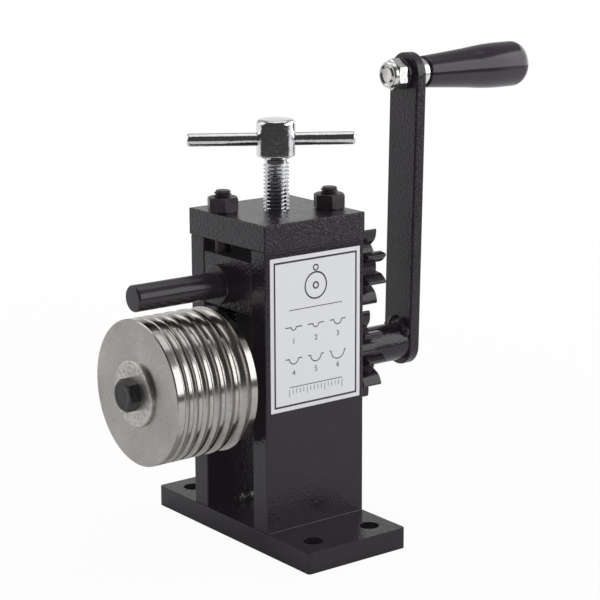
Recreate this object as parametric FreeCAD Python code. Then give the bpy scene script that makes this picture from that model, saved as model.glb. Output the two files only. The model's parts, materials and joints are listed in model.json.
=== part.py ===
"""Ring roller: a bench tool that bends rod into rings between a grooved roller and a shaft above it."""
import FreeCAD, Part
import math
import os
from FreeCAD import Vector

os.makedirs("parts", exist_ok=True)

X = Vector(1, 0, 0)
Y = Vector(0, 1, 0)
Z = Vector(0, 0, 1)

# ---- frame: base, two uprights and a cap. X runs along the base, Y from the roller to the crank, Z up
base_length = 119.0
base_depth = 55.5
base_thickness = 10.0
base_corner_radius = 1.5
base_hole_diameter = 9.0
base_hole_inset_x = 12.0
base_hole_inset_y = 11.5
opening_width = 36.5
upright_thickness = 10.5
upright_height = 129.5
cap_thickness = 12.3
cap_overhang = 0.5
plate_edge_break = 0.4
weld_leg = 5.0
weld_length = 30.0

# ---- sliding block and the gap it works in
slide_side_clearance = 0.2
block_height = 24.0
cap_gap = 6.1
rod_gap = 3.7
running_clearance = 0.05
axial_clearance = 0.1

# ---- top shaft
top_shaft_diameter = 12.0
top_shaft_overhang = 0.8
collar_diameter = 18.0
top_collar_length = 6.35
grub_diameter = 4.0
grub_recess = 0.4

# ---- roller: outside size, grooves from the front to the back, and the land at each end
roller_diameter = 66.0
roller_length = 42.5
groove_widths = (2.5, 3.0, 4.0, 4.5, 5.5, 7.0)
end_land = 3.75
roller_edge_break = 0.5
roller_standoff = 7.2

# ---- drive shaft, its bushes and what holds the roller on it
drive_shaft_diameter = 15.0
drive_spigot_diameter = 12.0
bush_wall = 1.5
bush_length = 18.0
key_size = 5.0
roller_key_length = 20.0
clamp_draw = 0.5
washer_diameter = 30.0
washer_thickness = 2.0
bolt_grip = 16.0
tapping_past_bolt = 3.0

# ---- gears
gear_teeth = 11
gear_slack = 0.5
gear_addendum = 1.1
gear_dedendum = 1.25
gear_thinning = 0.35
gear_face = 10.7
gear_standoff = 8.4
gear_phase = 96.8
pressure_angle = 20.0
clip_thickness = 1.0
clip_step = 2.2
clip_margin = 1.6

# ---- M8 fasteners
m8_diameter = 8.0
m8_across_flats = 13.0
m8_nut_height = 6.8
m8_head_height = 5.3
m8_hole_clearance = 0.5
hexagon_face_inset = 0.15
nut_turn = 33.0
stud_y = 21.7
stud_wall = 1.2
stud_guide_clearance = 0.1
stud_thread_length = 8.0
stud_projection = 3.0
bush_cover = 0.5
lower_block_floor = 5.0

# ---- lift springs on the studs
spring_wire = 1.2
spring_clearance = 0.4
spring_turns = 5
spring_seat_gap = 0.1

# ---- pressure screw and its bar
screw_diameter = 12.0
screw_pitch = 1.75
screw_thread_depth = 0.95
screw_hole_clearance = 0.08
screw_exposed = 21.8
screw_tip_diameter = 9.4
screw_tip_length = 3.0
screw_pocket_depth = 2.0
screw_pocket_clearance = 0.3
screw_neck_diameter = 10.8
screw_neck_length = 1.4
screw_cone_length = 1.7
screw_cone_step = 1.0
screw_head_diameter = 17.8
screw_head_height = 16.5
screw_head_rounding = 3.0
bar_diameter = 6.0
bar_length = 76.0
bar_offset = 2.1
bar_drop = 0.85
bar_turn = 56.75
bar_end_break = 0.8

# ---- crank
hub_diameter = 18.3
hub_length = 25.6
hub_shaft_stop = 2.0
arm_width = 19.8
arm_thickness = 6.0
arm_reach = 130.0
arm_tail = 11.6
arm_edge_break = 0.6
crank_lean = 1.4
hub_weld_leg = 3.2
hub_weld_sweep = 104.0

# ---- crank handle
handle_washer_diameter = 15.0
handle_washer_thickness = 2.4
lock_nut_height = 7.6
lock_nut_collar = 2.2
spindle_shoulder_diameter = 13.0
spindle_shoulder_length = 5.7
spindle_shank_length = 46.0
spindle_flange_diameter = 11.0
spindle_flange_length = 3.0
spindle_end_gap = 0.6
handle_bush_wall = 1.5
handle_bush_length = 12.0
grip_length = 63.0
grip_small_diameter = 15.0
grip_large_diameter = 22.0
grip_waist_diameter = 19.5
grip_waist_station = 28.8
grip_dome_length = 7.0
grip_start_gap = 0.3
grip_bore_clearance = 0.5
grip_mouth_rounding = 1.0
grip_mouth_bulge = 0.3

# ---- label plate on the right upright
label_width = 50.6
label_height = 70.4
label_thickness = 0.4
label_corner_radius = 0.8
label_below_cap = 3.0

# ---- levels and stations that follow from the sizes above
frame_front = -base_depth / 2
frame_back = base_depth / 2
frame_width = opening_width + 2 * upright_thickness
cap_bottom = base_thickness + upright_height
cap_top = cap_bottom + cap_thickness
block_top = cap_bottom - cap_gap
block_bottom = block_top - block_height
shaft_radius = top_shaft_diameter / 2
roller_radius = roller_diameter / 2
shaft_level = block_bottom + block_height / 2
roller_level = shaft_level - shaft_radius - rod_gap - roller_radius
roller_back = frame_front - roller_standoff
roller_front = roller_back - roller_length
top_shaft_front = roller_front - top_shaft_overhang
gear_front = frame_back + gear_standoff
gear_back = gear_front + gear_face
gear_module = (roller_radius + shaft_radius - gear_slack) / gear_teeth
gear_tip_radius = gear_module * (gear_teeth / 2 + gear_addendum)
gear_root_radius = gear_module * (gear_teeth / 2 - gear_dedendum)
bush_radius = drive_shaft_diameter / 2 + bush_wall
stud_guide_radius = m8_diameter / 2 + stud_guide_clearance
stud_x = shaft_radius + stud_wall + stud_guide_radius
stud_bottom = roller_level + bush_radius + bush_cover
lower_block_top = stud_bottom + stud_thread_length
lower_block_bottom = roller_level - bush_radius - lower_block_floor
stud_top = cap_top + m8_nut_height + stud_projection
stud_places = ((-stud_x, -stud_y), (stud_x, stud_y))
shaft_rear_end = gear_back + clip_thickness + clip_margin
hub_front = gear_back
arm_front = hub_front + hub_length
arm_back = arm_front + arm_thickness
handle_level = roller_level + arm_reach
lock_nut_seat = arm_front - handle_washer_thickness
lock_nut_front = lock_nut_seat - lock_nut_height
screw_head_bottom = cap_top + screw_exposed + screw_neck_length + screw_cone_length
bar_level = screw_head_bottom + screw_head_height / 2 - bar_drop


def box(low, high):
    size = high - low
    return Part.makeBox(size.x, size.y, size.z, low)


def cylinder(diameter, start, end):
    return Part.makeCylinder(diameter / 2, (end - start).Length, start, end - start)


def tube(outer, inner, start, end):
    return cylinder(outer, start, end).cut(cylinder(inner, start, end))


def along_y(level, start, end, x=0.0):
    return Vector(x, start, level), Vector(x, end, level)


def hexagon_prism(across_flats, start, end, turn, around):
    """A hexagon bar from start to end; turn is the angle of one corner about the direction `around`."""
    reach = across_flats / math.sqrt(3)
    corners = []
    for number in range(7):
        spin = FreeCAD.Rotation(around, turn + 60 * number)
        corners.append(start + spin.multVec(X * reach))
    return Part.Face(Part.makePolygon(corners)).extrude(end - start)


def chamfer_hexagon(prism, across_flats, start, end, at_start, at_end):
    """Take the corners off a hexagon's ends with a 30 degree cone."""
    direction = (end - start).normalize()
    length = (end - start).Length
    reach = across_flats / math.sqrt(3)
    flat = across_flats / 2 - hexagon_face_inset
    drop = (reach - flat) * math.tan(math.radians(30))
    points = [(0, 0), (flat if at_start else reach + 1, 0)]
    if at_start:
        points.append((reach, drop))
    if at_end:
        points.append((reach, length - drop))
    points += [(flat if at_end else reach + 1, length), (0, length), (0, 0)]
    outline = Part.makePolygon([Vector(r, 0, h) for r, h in points])
    envelope = Part.Face(outline).revolve(Vector(0, 0, 0), Z, 360)
    envelope.Placement = FreeCAD.Placement(start, FreeCAD.Rotation(Z, direction))
    return prism.common(envelope)


def rounded_box(low, high, radius):
    """A plate with round upright corners."""
    shape = box(low, high)
    edges = [edge for edge in shape.Edges if abs(edge.tangentAt(edge.FirstParameter).z) > 0.9]
    return shape.makeFillet(radius, edges)


def broken_box(low, high, amount):
    shape = box(low, high)
    return shape.makeChamfer(amount, shape.Edges)


def revolve_about_y(profile, level):
    """Turn a list of (radius, y) points, or edges, into a solid about the line at this level."""
    face = Part.Face(Part.Wire(profile))
    return face.revolve(Vector(0, 0, level), Y, 360)


def ring_profile(points, level):
    outline = Part.makePolygon([Vector(r, y, level) for r, y in points + points[:1]])
    return outline.Edges


def tilt(shape):
    """Lean a crank piece from upright about the drive axis."""
    leaned = shape.copy()
    leaned.rotate(Vector(0, 0, roller_level), Y, crank_lean)
    return leaned


def save(name, shape):
    solids = shape.Solids
    result = solids[0] if len(solids) == 1 else Part.makeCompound(solids)
    result.exportStep("parts/" + name + ".step")


# ---------------------------------------------------------------- frame

def base_plate():
    plate = rounded_box(Vector(-base_length / 2, frame_front, 0),
                        Vector(base_length / 2, frame_back, base_thickness), base_corner_radius)
    hole_x = base_length / 2 - base_hole_inset_x
    hole_y = base_depth / 2 - base_hole_inset_y
    for x in (-hole_x, hole_x):
        for y in (-hole_y, hole_y):
            plate = plate.cut(cylinder(base_hole_diameter, Vector(x, y, 0), Vector(x, y, base_thickness)))
    return plate


def upright(side):
    inner = side * opening_width / 2
    outer = side * frame_width / 2
    return broken_box(Vector(min(inner, outer), frame_front, base_thickness),
                      Vector(max(inner, outer), frame_back, cap_bottom), plate_edge_break)


def fillet_bead(x, side, level, up):
    """A weld in the corner between a plate face at x and a level face; side points into the open."""
    corner = Vector(x, -weld_length / 2, level)
    outline = Part.makePolygon([corner, corner + X * side * weld_leg, corner + Z * up * weld_leg, corner])
    bead = Part.Face(outline).extrude(Y * weld_length)
    return bead.Solids[0]


def upright_welds():
    return Part.makeCompound([fillet_bead(side * opening_width / 2, -side, base_thickness, 1)
                              for side in (-1, 1)])


def block_welds():
    return Part.makeCompound([fillet_bead(side * opening_width / 2, -side, lower_block_bottom, -1)
                              for side in (-1, 1)])


def cap_plate():
    half_width = frame_width / 2 + cap_overhang
    half_depth = base_depth / 2 + cap_overhang
    plate = broken_box(Vector(-half_width, -half_depth, cap_bottom),
                       Vector(half_width, half_depth, cap_top), plate_edge_break)
    stud_hole = m8_diameter + m8_hole_clearance
    for x, y in stud_places:
        plate = plate.cut(cylinder(stud_hole, Vector(x, y, cap_bottom), Vector(x, y, cap_top)))
    screw_hole = screw_diameter + 2 * screw_hole_clearance
    return plate.cut(cylinder(screw_hole, Vector(0, 0, cap_bottom), Vector(0, 0, cap_top)))


def lower_block():
    half_width = opening_width / 2
    block = box(Vector(-half_width, frame_front, lower_block_bottom),
                Vector(half_width, frame_back, lower_block_top))
    bore = drive_shaft_diameter + 2 * bush_wall
    block = block.cut(cylinder(bore, *along_y(roller_level, frame_front, frame_back)))
    for x, y in stud_places:
        block = block.cut(cylinder(m8_diameter, Vector(x, y, stud_bottom), Vector(x, y, lower_block_top)))
    return block


def drive_bush(start, end):
    outer = drive_shaft_diameter + 2 * bush_wall
    inner = drive_shaft_diameter + 2 * running_clearance
    return tube(outer, inner, *along_y(roller_level, start, end))


def guide_studs():
    studs = []
    for x, y in stud_places:
        stud = cylinder(m8_diameter, Vector(x, y, stud_bottom), Vector(x, y, stud_top))
        top_edge = [edge for edge in stud.Edges if abs(edge.CenterOfMass.z - stud_top) < 0.01]
        studs.append(stud.makeChamfer(plate_edge_break * 2, top_edge))
    return Part.makeCompound(studs)


def cap_nuts():
    nuts = []
    for x, y in stud_places:
        bottom = Vector(x, y, cap_top)
        top = Vector(x, y, cap_top + m8_nut_height)
        nut = hexagon_prism(m8_across_flats, bottom, top, nut_turn, Z)
        nut = chamfer_hexagon(nut, m8_across_flats, bottom, top, True, True)
        nuts.append(nut.cut(cylinder(m8_diameter, bottom, top)).Solids[0])
    return Part.makeCompound(nuts)


def label_plate():
    face = frame_width / 2
    top = cap_bottom - label_below_cap
    plate = box(Vector(face, -label_width / 2, top - label_height),
                Vector(face + label_thickness, label_width / 2, top))
    corners = [edge for edge in plate.Edges if abs(edge.tangentAt(edge.FirstParameter).x) > 0.9]
    return plate.makeFillet(label_corner_radius, corners)


def lift_spring(place):
    """A compression spring round a stud, between the lower block and the sliding block."""
    x, y = place
    low = lower_block_top + spring_seat_gap + spring_wire / 2
    high = block_bottom - spring_seat_gap - spring_wire / 2
    radius = m8_diameter / 2 + spring_clearance + spring_wire / 2
    helix = Part.makeHelix((high - low) / spring_turns, high - low, radius)
    start = Vector(radius, 0, 0)
    wire = Part.Wire(Part.makeCircle(spring_wire / 2, start, Y).Edges)
    coil = Part.Wire(helix.Edges).makePipeShell([wire], True, True)
    coil.translate(Vector(x, y, low))
    return coil


# ---------------------------------------------------------------- sliding block and pressure screw

def sliding_block():
    half_width = opening_width / 2 - slide_side_clearance
    block = broken_box(Vector(-half_width, frame_front, block_bottom),
                       Vector(half_width, frame_back, block_top), plate_edge_break)
    bore = top_shaft_diameter + 2 * running_clearance
    block = block.cut(cylinder(bore, *along_y(shaft_level, frame_front, frame_back)))
    guide = 2 * stud_guide_radius
    for x, y in stud_places:
        block = block.cut(cylinder(guide, Vector(x, y, block_bottom), Vector(x, y, block_top)))
    pocket = screw_tip_diameter + 2 * screw_pocket_clearance
    pocket_bottom = block_top - screw_pocket_depth
    return block.cut(cylinder(pocket, Vector(0, 0, pocket_bottom), Vector(0, 0, block_top)))


def pressure_screw():
    """Tip, thread with a groove at each pitch, neck and round head, turned about Z."""
    crest = screw_diameter / 2
    root = crest - screw_thread_depth
    tip_bottom = block_top - screw_pocket_depth + running_clearance
    thread_bottom = tip_bottom + screw_tip_length
    thread_top = cap_top + screw_exposed
    neck_top = thread_top + screw_neck_length
    head_top = screw_head_bottom + screw_head_height
    tip = screw_tip_diameter / 2
    outline = [(0, tip_bottom), (tip, tip_bottom), (tip, thread_bottom)]
    pitches = int((thread_top - thread_bottom) / screw_pitch)
    for number in range(pitches):
        low = thread_bottom + number * screw_pitch
        outline += [(root, low), (crest, low + 0.42 * screw_pitch),
                    (crest, low + 0.55 * screw_pitch), (root, low + 0.97 * screw_pitch)]
    neck = screw_neck_diameter / 2
    outline += [(root, thread_top), (neck, thread_top), (neck, neck_top),
                (crest + screw_cone_step, screw_head_bottom), (screw_head_diameter / 2, screw_head_bottom),
                (screw_head_diameter / 2, head_top), (0, head_top)]
    wire = Part.makePolygon([Vector(r, 0, z) for r, z in outline + outline[:1]])
    screw = Part.Face(wire).revolve(Vector(0, 0, 0), Z, 360)
    rim = [edge for edge in screw.Edges if abs(edge.CenterOfMass.z - head_top) < 0.01
           and abs(edge.BoundBox.XLength - screw_head_diameter) < 0.01]
    screw = screw.makeFillet(screw_head_rounding, rim)
    return screw.cut(cylinder(bar_diameter, *bar_ends(bar_length)))


def bar_ends(length):
    direction = FreeCAD.Rotation(Z, bar_turn).multVec(X)
    middle = Vector(0, 0, bar_level) - direction * bar_offset
    return middle - direction * length / 2, middle + direction * length / 2


def tommy_bar():
    start, end = bar_ends(bar_length)
    bar = cylinder(bar_diameter, start, end)
    ends = [edge for edge in bar.Edges if edge.Curve.TypeId == "Part::GeomCircle"]
    return bar.makeChamfer(bar_end_break, ends)


# ---------------------------------------------------------------- shafts and what turns with them

def key_at(level, shaft_diameter, start, end, slack=0.0):
    """The square key on top of a shaft, half sunk in it, or the seat it lies in."""
    half = key_size / 2 + slack
    middle = shaft_diameter / 2
    return box(Vector(-half, start, level + middle - half), Vector(half, end, level + middle + half))


def roller_key_span():
    middle = (roller_front + roller_back) / 2
    return middle - roller_key_length / 2, middle + roller_key_length / 2


def gear_key_span():
    return gear_front + axial_clearance, gear_back - axial_clearance


def top_shaft():
    shaft = cylinder(top_shaft_diameter, *along_y(shaft_level, top_shaft_front, shaft_rear_end))
    front_rim = [edge for edge in shaft.Edges if abs(edge.CenterOfMass.y - top_shaft_front) < 0.01]
    shaft = shaft.makeFillet(plate_edge_break * 2, front_rim)
    shaft = shaft.cut(key_at(shaft_level, top_shaft_diameter, *gear_key_span()))
    groove = tube(top_shaft_diameter + 2, top_shaft_diameter - clip_step / 2,
                  *along_y(shaft_level, gear_back, gear_back + clip_thickness))
    return shaft.cut(groove)


def top_clip():
    """An open retaining ring in the groove behind the top gear."""
    inner = top_shaft_diameter - clip_step / 2
    ring = tube(top_shaft_diameter + 2 * clip_step, inner,
                *along_y(shaft_level, gear_back, gear_back + clip_thickness))
    mouth = box(Vector(-inner / 4, gear_back, shaft_level - top_shaft_diameter),
                Vector(inner / 4, gear_back + clip_thickness, shaft_level))
    return ring.cut(mouth)


def top_front_collar():
    start = frame_front - axial_clearance
    ring = tube(collar_diameter, top_shaft_diameter, *along_y(shaft_level, start - top_collar_length, start))
    rims = [edge for edge in ring.Edges if abs(edge.CenterOfMass.y - start + top_collar_length) < 0.01
            and abs(edge.BoundBox.XLength - collar_diameter) < 0.01]
    ring = ring.makeChamfer(plate_edge_break, rims)
    middle = start - top_collar_length / 2
    return ring.cut(cylinder(grub_diameter, Vector(0, middle, shaft_level),
                             Vector(0, middle, shaft_level + collar_diameter)))


def top_collar_grub():
    middle = frame_front - axial_clearance - top_collar_length / 2
    return grub_screw(Vector(0, middle, shaft_level + shaft_radius),
                      Vector(0, middle, shaft_level + collar_diameter / 2 - grub_recess))


def grub_screw(start, end):
    """A short set screw with a hexagon socket in its outer end."""
    screw = cylinder(grub_diameter, start, end)
    depth = (end - start) * 0.55
    socket = hexagon_prism(grub_diameter / 2, end - depth, end, 0, Z)
    return screw.cut(socket)


def top_rear_spacer():
    return tube(collar_diameter, top_shaft_diameter,
                *along_y(shaft_level, frame_back + axial_clearance, gear_front))


def involute_point(base_radius, radius, offset, hand):
    """A point of the involute at this radius; offset is the tooth's half angle at the base circle."""
    roll = math.sqrt(max((radius / base_radius) ** 2 - 1, 0))
    angle = hand * (offset - (roll - math.atan(roll)))
    return radius * math.cos(angle), radius * math.sin(angle)


def gear(level, phase, bore):
    """A spur gear with involute flanks, radial below the base circle, and a keyed bore."""
    pitch_radius = gear_module * gear_teeth / 2
    angle = math.radians(pressure_angle)
    base_radius = pitch_radius * math.cos(angle)
    half_angle = math.pi / (2 * gear_teeth) - gear_thinning / pitch_radius
    offset = half_angle + math.tan(angle) - angle
    radii = [base_radius + (gear_tip_radius - base_radius) * share for share in (0, 0.1, 0.3, 0.6, 1)]

    def place(point, turn):
        x, z = point
        spin = math.radians(turn)
        return Vector(x * math.cos(spin) - z * math.sin(spin), gear_front,
                      level + x * math.sin(spin) + z * math.cos(spin))

    def polar(radius, theta):
        return radius * math.cos(theta), radius * math.sin(theta)

    edges = []
    pitch = 360 / gear_teeth
    for tooth in range(gear_teeth):
        turn = phase + pitch * tooth
        for hand in (-1, 1):
            flank = [place(involute_point(base_radius, radius, offset, hand), turn) for radius in radii]
            foot = place(polar(gear_root_radius, hand * offset), turn)
            curve = Part.BSplineCurve()
            curve.interpolate(flank)
            edges += [Part.makeLine(foot, flank[0]), curve.toShape()]
            if hand == -1:
                tip_start = flank[-1]
            else:
                tip_middle = place((gear_tip_radius, 0), turn)
                edges.append(Part.Arc(tip_start, tip_middle, flank[-1]).toShape())
                next_foot = place(polar(gear_root_radius, -offset), turn + pitch)
                valley = place((gear_root_radius, 0), turn + pitch / 2)
                edges.append(Part.Arc(foot, valley, next_foot).toShape())
    outline = Part.Wire(Part.__sortEdges__(edges))
    blank = Part.Face(outline).extrude(Y * gear_face)
    blank = blank.cut(cylinder(bore, *along_y(level, gear_front, gear_back)))
    return blank.cut(key_at(level, bore, gear_front, gear_back))


def gear_key(level, shaft_diameter):
    return key_at(level, shaft_diameter, *gear_key_span())


def drive_shaft():
    front = roller_front + clamp_draw
    shaft = cylinder(drive_shaft_diameter, *along_y(roller_level, front, gear_back))
    spigot = cylinder(drive_spigot_diameter,
                      *along_y(roller_level, gear_back, arm_front - hub_shaft_stop))
    shaft = shaft.fuse(spigot)
    shaft = shaft.cut(key_at(roller_level, drive_shaft_diameter, *roller_key_span()))
    shaft = shaft.cut(key_at(roller_level, drive_shaft_diameter, *gear_key_span()))
    tapping_end = front + bolt_grip + tapping_past_bolt
    return shaft.cut(cylinder(m8_diameter, *along_y(roller_level, front, tapping_end)))


def roller():
    """Turned roller: half-round grooves across its rim, narrow at the front and wide at the back."""
    rim = roller_radius
    bore = drive_shaft_diameter / 2
    inner_land = (roller_length - 2 * end_land - sum(groove_widths)) / (len(groove_widths) - 1)
    edges = []
    corner = Vector(rim - roller_edge_break, roller_front, roller_level)
    edges.append(Part.makeLine(Vector(bore, roller_front, roller_level), corner))
    y = roller_front + roller_edge_break
    edges.append(Part.makeLine(corner, Vector(rim, y, roller_level)))
    land_end = roller_front + end_land
    for width in groove_widths:
        edges.append(Part.makeLine(Vector(rim, y, roller_level), Vector(rim, land_end, roller_level)))
        bottom = Vector(rim - width / 2, land_end + width / 2, roller_level)
        groove_end = Vector(rim, land_end + width, roller_level)
        edges.append(Part.Arc(Vector(rim, land_end, roller_level), bottom, groove_end).toShape())
        y = land_end + width
        land_end = y + inner_land
    last = Vector(rim, roller_back - roller_edge_break, roller_level)
    back_corner = Vector(rim - roller_edge_break, roller_back, roller_level)
    edges.append(Part.makeLine(Vector(rim, y, roller_level), last))
    edges.append(Part.makeLine(last, back_corner))
    edges.append(Part.makeLine(back_corner, Vector(bore, roller_back, roller_level)))
    edges.append(Part.makeLine(Vector(bore, roller_back, roller_level),
                               Vector(bore, roller_front, roller_level)))
    body = revolve_about_y(edges, roller_level)
    return body.cut(key_at(roller_level, drive_shaft_diameter, roller_front, roller_back))


def roller_key():
    return key_at(roller_level, drive_shaft_diameter, *roller_key_span())


def roller_washer():
    return tube(washer_diameter, m8_diameter + 2 * running_clearance,
                *along_y(roller_level, roller_front - washer_thickness, roller_front))


def roller_bolt():
    seat = roller_front - washer_thickness
    start, end = along_y(roller_level, seat - m8_head_height, seat)
    head = chamfer_hexagon(hexagon_prism(m8_across_flats, start, end, 0, Y), m8_across_flats,
                           start, end, True, False)
    shank = cylinder(m8_diameter, *along_y(roller_level, seat, roller_front + clamp_draw + bolt_grip))
    return head.fuse(shank)


def drive_front_collar():
    return tube(collar_diameter, drive_shaft_diameter,
                *along_y(roller_level, roller_back, frame_front - axial_clearance))


def drive_rear_spacer():
    return tube(collar_diameter, drive_shaft_diameter,
                *along_y(roller_level, frame_back + axial_clearance, gear_front))


# ---------------------------------------------------------------- crank

def crank_hub():
    hub = tube(hub_diameter, drive_spigot_diameter, *along_y(roller_level, hub_front, arm_front))
    middle = (hub_front + arm_front) / 2
    return tilt(hub.cut(cylinder(grub_diameter, Vector(0, middle, roller_level),
                                 Vector(0, middle, roller_level - hub_diameter))))


def hub_grub_screw():
    middle = (hub_front + arm_front) / 2
    return tilt(grub_screw(Vector(0, middle, roller_level - drive_spigot_diameter / 2),
                           Vector(0, middle, roller_level - hub_diameter / 2 + grub_recess)))


def hub_weld():
    """The bead in the corner between the hub and the arm's front face, over the arm's long side."""
    radius = hub_diameter / 2
    outline = ring_profile([(radius, arm_front), (radius + hub_weld_leg, arm_front),
                            (radius, arm_front - hub_weld_leg)], roller_level)
    bead = Part.Face(Part.Wire(outline)).revolve(Vector(0, 0, roller_level), Y, hub_weld_sweep)
    bead.rotate(Vector(0, 0, roller_level), Y, -90 - hub_weld_sweep / 2)
    return tilt(bead)


def crank_arm():
    half = arm_width / 2
    tail = roller_level - arm_tail + half
    low_left = Vector(-half, arm_front, tail)
    high_left = Vector(-half, arm_front, handle_level)
    high_right = Vector(half, arm_front, handle_level)
    low_right = Vector(half, arm_front, tail)
    edges = [Part.makeLine(low_left, high_left),
             Part.Arc(high_left, Vector(0, arm_front, handle_level + half), high_right).toShape(),
             Part.makeLine(high_right, low_right),
             Part.Arc(low_right, Vector(0, arm_front, tail - half), low_left).toShape()]
    arm = Part.Face(Part.Wire(edges)).extrude(Y * arm_thickness)
    rims = [edge for edge in arm.Edges if edge.BoundBox.YLength < 0.01]
    arm = arm.makeChamfer(arm_edge_break, rims)
    return tilt(arm.cut(cylinder(m8_diameter, *along_y(handle_level, arm_front, arm_back))))


def handle_spindle():
    """Threaded end through the arm, shoulder behind it, then the shank that the grip turns on."""
    thread = cylinder(m8_diameter, *along_y(handle_level, lock_nut_front, arm_back))
    shoulder_end = arm_back + spindle_shoulder_length
    shoulder = cylinder(spindle_shoulder_diameter, *along_y(handle_level, arm_back, shoulder_end))
    shank_end = shoulder_end + spindle_shank_length
    shank = cylinder(m8_diameter, *along_y(handle_level, shoulder_end, shank_end))
    flange = cylinder(spindle_flange_diameter,
                      *along_y(handle_level, shank_end - spindle_flange_length, shank_end))
    return tilt(thread.fuse([shoulder, shank, flange]).removeSplitter())


def handle_washer():
    return tilt(tube(handle_washer_diameter, m8_diameter + 2 * running_clearance,
                     *along_y(handle_level, lock_nut_seat, arm_front)))


def handle_nut():
    start, end = along_y(handle_level, lock_nut_front, lock_nut_seat)
    shoulder = along_y(handle_level, lock_nut_front + lock_nut_collar, lock_nut_seat)
    nut = chamfer_hexagon(hexagon_prism(m8_across_flats, *shoulder, 30, Y), m8_across_flats,
                          *shoulder, True, True)
    collar = cylinder(m8_across_flats - 0.6, start, shoulder[0])
    rim = [edge for edge in collar.Edges if abs(edge.CenterOfMass.y - start.y) < 0.01]
    nut = nut.fuse(collar.makeFillet(lock_nut_collar / 2, rim))
    return tilt(nut.cut(cylinder(m8_diameter, start, end)))


def grip_station():
    return arm_back + spindle_shoulder_length + grip_start_gap


def handle_bush():
    start = grip_station()
    end = start + handle_bush_length
    inner = m8_diameter + 2 * running_clearance
    return tilt(tube(inner + 2 * handle_bush_wall, inner, *along_y(handle_level, start, end)))


def handle_grip():
    """Tapered grip with a domed end, bored from its small end for the bush and the spindle's flange."""
    start = grip_station()
    end = start + grip_length
    small = grip_small_diameter / 2
    large = grip_large_diameter / 2
    shoulder = end - grip_dome_length
    mouth = small - grip_mouth_rounding
    rim = start + grip_mouth_rounding
    edges = [Part.makeLine(Vector(0, start, handle_level), Vector(mouth, start, handle_level)),
             Part.Arc(Vector(mouth, start, handle_level),
                      Vector(small - grip_mouth_bulge, start + grip_mouth_bulge, handle_level),
                      Vector(small, rim, handle_level)).toShape()]
    flank = Part.BSplineCurve()
    flank.interpolate([Vector(small, rim, handle_level),
                       Vector(grip_waist_diameter / 2, start + grip_waist_station, handle_level),
                       Vector(large, shoulder, handle_level)],
                      InitialTangent=Vector(0.12, 1, 0), FinalTangent=Y)
    edges.append(flank.toShape())
    dome = Part.BSplineCurve()
    dome.interpolate([Vector(large, shoulder, handle_level),
                      Vector(large * 0.8, end - grip_dome_length * 0.35, handle_level),
                      Vector(0, end, handle_level)], InitialTangent=Y, FinalTangent=-X)
    edges += [dome.toShape(), Part.makeLine(Vector(0, end, handle_level), Vector(0, start, handle_level))]
    grip = revolve_about_y(edges, handle_level)
    bush_outer = m8_diameter + 2 * running_clearance + 2 * handle_bush_wall
    bore_end = arm_back + spindle_shoulder_length + spindle_shank_length + spindle_end_gap
    bush_end = start + handle_bush_length
    grip = grip.cut(cylinder(bush_outer, *along_y(handle_level, start, bush_end)))
    flange_bore = spindle_flange_diameter + 2 * grip_bore_clearance
    return tilt(grip.cut(cylinder(flange_bore, *along_y(handle_level, bush_end, bore_end))))


# ---------------------------------------------------------------- write every piece

pieces = {
    "base_plate": base_plate(),
    "left_upright": upright(-1),
    "right_upright": upright(1),
    "upright_welds": upright_welds(),
    "cap_plate": cap_plate(),
    "lower_block": lower_block(),
    "block_welds": block_welds(),
    "drive_front_bush": drive_bush(frame_front, frame_front + bush_length),
    "drive_rear_bush": drive_bush(frame_back - bush_length, frame_back),
    "guide_studs": guide_studs(),
    "cap_nuts": cap_nuts(),
    "label_plate": label_plate(),
    "front_lift_spring": lift_spring(stud_places[0]),
    "rear_lift_spring": lift_spring(stud_places[1]),
    "sliding_block": sliding_block(),
    "pressure_screw": pressure_screw(),
    "tommy_bar": tommy_bar(),
    "top_shaft": top_shaft(),
    "top_gear": gear(shaft_level, 180 / gear_teeth - gear_phase, top_shaft_diameter),
    "top_gear_key": gear_key(shaft_level, top_shaft_diameter),
    "top_clip": top_clip(),
    "top_front_collar": top_front_collar(),
    "top_collar_grub": top_collar_grub(),
    "top_rear_spacer": top_rear_spacer(),
    "drive_shaft": drive_shaft(),
    "roller": roller(),
    "roller_key": roller_key(),
    "roller_washer": roller_washer(),
    "roller_bolt": roller_bolt(),
    "drive_front_collar": drive_front_collar(),
    "drive_rear_spacer": drive_rear_spacer(),
    "drive_gear": gear(roller_level, gear_phase, drive_shaft_diameter),
    "drive_gear_key": gear_key(roller_level, drive_shaft_diameter),
    "crank_hub": crank_hub(),
    "hub_grub_screw": hub_grub_screw(),
    "hub_weld": hub_weld(),
    "crank_arm": crank_arm(),
    "handle_spindle": handle_spindle(),
    "handle_washer": handle_washer(),
    "handle_nut": handle_nut(),
    "handle_bush": handle_bush(),
    "handle_grip": handle_grip(),
}
for name, shape in pieces.items():
    save(name, shape)
    print(name, len(shape.Solids), shape.isValid(), round(shape.Volume, 1))
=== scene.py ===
import bpy
import bmesh
import json
import math
from mathutils import Matrix, Vector, noise


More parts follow.
